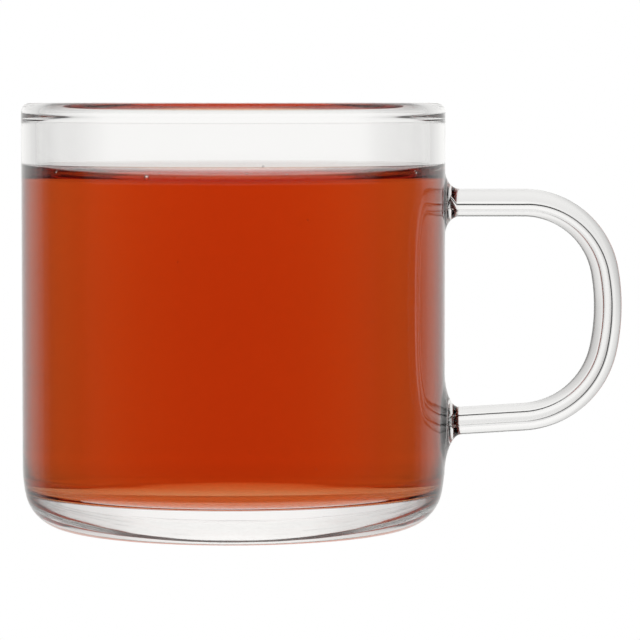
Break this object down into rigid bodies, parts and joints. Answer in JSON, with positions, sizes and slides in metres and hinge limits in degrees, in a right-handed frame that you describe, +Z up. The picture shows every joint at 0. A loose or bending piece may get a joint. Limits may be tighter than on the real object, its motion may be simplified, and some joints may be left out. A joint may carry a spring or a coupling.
{
  "type": "glass cup of tea",
  "caption": "Clear straight-sided glass cup with a thick rounded base, rolled rim and fused rod handle, filled with clear amber-brown tea.",
  "frame": {"origin": "on the cup's axis, in the plane of the foot", "axes": "+Z up along the cup's axis, +X from the axis out along the handle"},
  "size_m": [0.1206, 0.085, 0.085],
  "materials": {
    "glass": "clear, smooth, polished",
    "tea": "clear amber-brown liquid"
  },
  "bodies": {
    "root": {"cup": "glass", "tea": "tea"}
  },
  "joints": []
}
